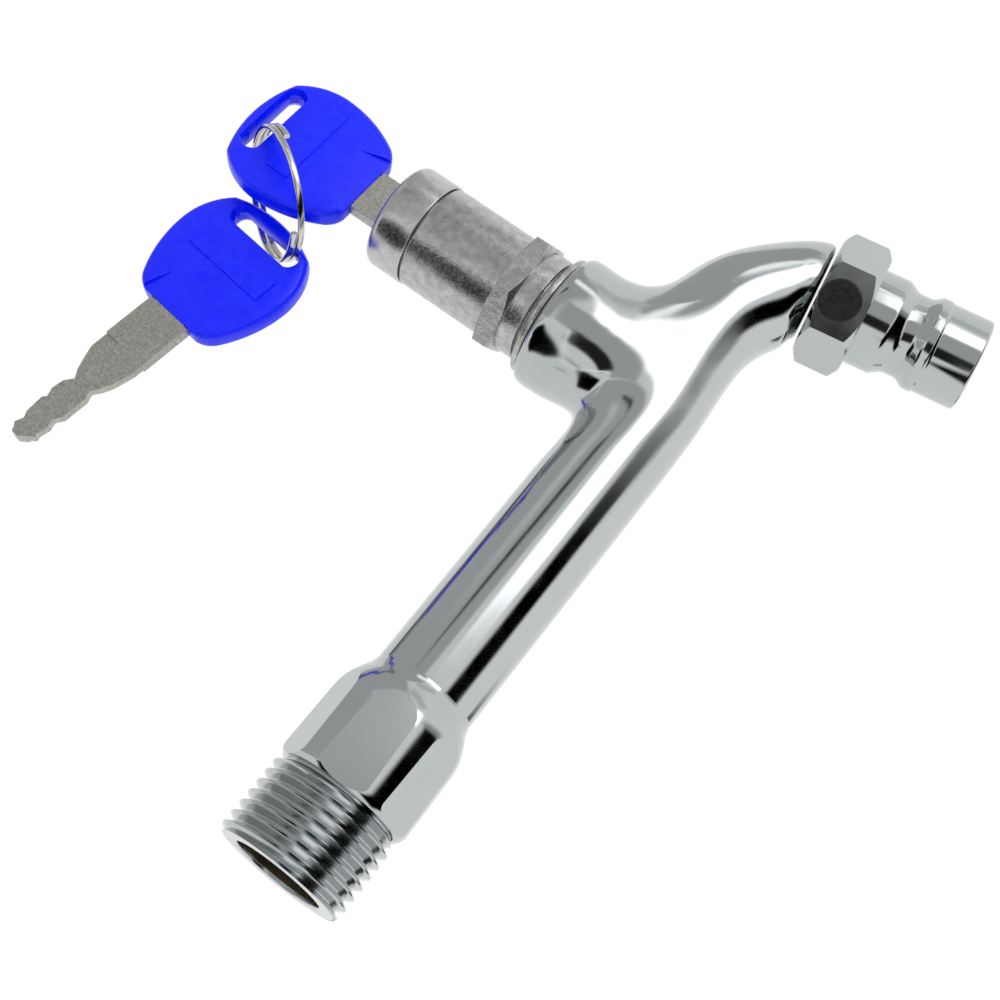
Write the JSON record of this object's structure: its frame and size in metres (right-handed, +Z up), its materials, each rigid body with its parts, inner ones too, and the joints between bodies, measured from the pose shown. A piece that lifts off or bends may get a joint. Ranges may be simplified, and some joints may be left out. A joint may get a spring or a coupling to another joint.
{
  "type": "lockable garden tap",
  "caption": "Long-necked garden tap with a key-operated quarter-turn lock in place of a handle, a hose nozzle and keys on a split ring.",
  "frame": {"origin": "centre of the inlet's end face, on the axis of its bore and thread", "axes": "+Y points out of the inlet towards the wall, the tap stands out to -Y, +Z points up along the lock"},
  "size_m": [0.0232, 0.1372, 0.1209],
  "materials": {
    "chrome": "polished chrome plate",
    "lock_metal": "satin nickel plate",
    "plug_metal": "satin nickel plate",
    "bare_brass": "machined",
    "black_screw": "black oxide",
    "seal_rubber": "matte",
    "cartridge_plastic": "moulded",
    "ceramic": "lapped ceramic",
    "key_steel": "tumbled nickel plate",
    "blue_plastic": "moulded gloss",
    "ring_steel": "bright nickel plate"
  },
  "bodies": {
    "tap": {"tap_body": "chrome", "hose_nozzle": "chrome", "nozzle_set_screw": "black_screw", "nozzle_seal": "seal_rubber", "flange_washer": "lock_metal", "lock_barrel": "lock_metal", "lock_cap": "lock_metal", "housing_seal": "seal_rubber", "seat_seal": "seal_rubber", "valve_cartridge": "cartridge_plastic", "thrust_washer": "cartridge_plastic", "fixed_disc": "ceramic"},
    "plug": {"lock_plug": "plug_metal", "spindle": "bare_brass", "moving_disc": "ceramic", "spindle_seal_lower": "seal_rubber", "spindle_seal_upper": "seal_rubber"},
    "near_tumblers": {"tumblers_near": "bare_brass"},
    "far_tumblers": {"tumblers_far": "bare_brass"},
    "key_in_lock": {"key_1_blade": "key_steel", "key_1_bow": "blue_plastic"},
    "ring": {"split_ring": "ring_steel"},
    "spare_key": {"key_2_blade": "key_steel", "key_2_bow": "blue_plastic"}
  },
  "joints": [
    {"name": "lock_turn", "type": "hinge", "parent": "tap", "child": "plug", "pos_m": [0, -0.0947, 0.03], "axis": [0, 0, 1], "range_deg": [0, 90]},
    {"name": "key_slide", "type": "slide", "parent": "plug", "child": "key_in_lock", "axis": [0, 0, 1], "range_m": [0, 0.025]},
    {"name": "near_tumbler_slide", "type": "slide", "parent": "plug", "child": "near_tumblers", "axis": [-0.0767, 0.9971, 0], "range_m": [0, 0.0005]},
    {"name": "far_tumbler_slide", "type": "slide", "parent": "plug", "child": "far_tumblers", "axis": [0.0767, -0.9971, 0], "range_m": [0, 0.0005]},
    {"name": "ring_swing", "type": "hinge", "parent": "key_in_lock", "child": "ring", "pos_m": [-0.00027, -0.09218, 0.07933], "axis": [0.9657, 0.1563, 0.2073], "range_deg": [-8, 100]},
    {"name": "spare_key_slide", "type": "hinge", "parent": "ring", "child": "spare_key", "pos_m": [0.00053, -0.08567, 0.07069], "axis": [-0.2489, 0.7847, 0.5678], "range_deg": [-15, 20]}
  ],
  "couplings": [
    {"joint": "near_tumbler_slide", "follows": "key_slide", "ratio": 0.02},
    {"joint": "far_tumbler_slide", "follows": "key_slide", "ratio": 0.02}
  ]
}
